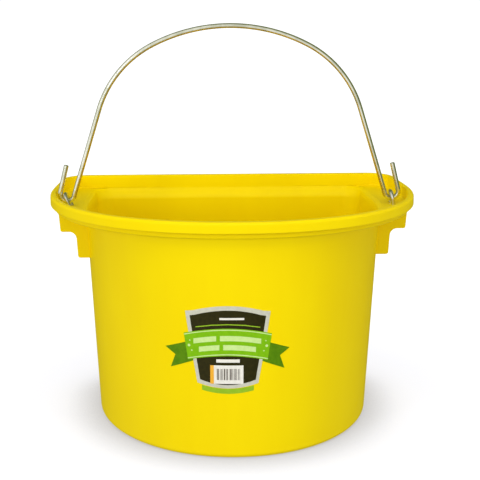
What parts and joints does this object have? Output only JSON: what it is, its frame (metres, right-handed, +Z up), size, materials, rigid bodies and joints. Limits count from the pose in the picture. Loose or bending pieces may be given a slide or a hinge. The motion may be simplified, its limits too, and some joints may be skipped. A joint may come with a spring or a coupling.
{
  "type": "feed bucket",
  "caption": "Flat-backed moulded feed bucket with a turned-down lip, side ears, wire eyes, a swinging wire bail and a shield-shaped front label.",
  "frame": {"origin": "on the floor under the middle of the rim's width and depth", "axes": "+Z up, -Y towards the curved front with the label, +Y towards the flat back that hangs against a rail or wall, +X to the viewer's right from the front"},
  "size_m": [0.378, 0.285, 0.4055],
  "materials": {
    "yellow_plastic": "moulded polypropylene, soft gloss",
    "bail_wire": "zinc-plated round wire",
    "eye_wire": "zinc-plated round wire",
    "printed_film": "printed adhesive film, dark shield with a green ribbon",
    "white_film": "white adhesive film with printed bars"
  },
  "bodies": {
    "bucket_body": {"bucket": "yellow_plastic", "left_eye": "eye_wire", "right_eye": "eye_wire", "label": "printed_film", "barcode_sticker": "white_film"},
    "bail_body": {"bail": "bail_wire"}
  },
  "joints": [
    {"name": "bail_swing", "type": "hinge", "parent": "bucket_body", "child": "bail_body", "pos_m": [-0.0025, 0.0225, 0.2255], "axis": [1, 0, 0], "range_deg": [-82, 82]}
  ]
}
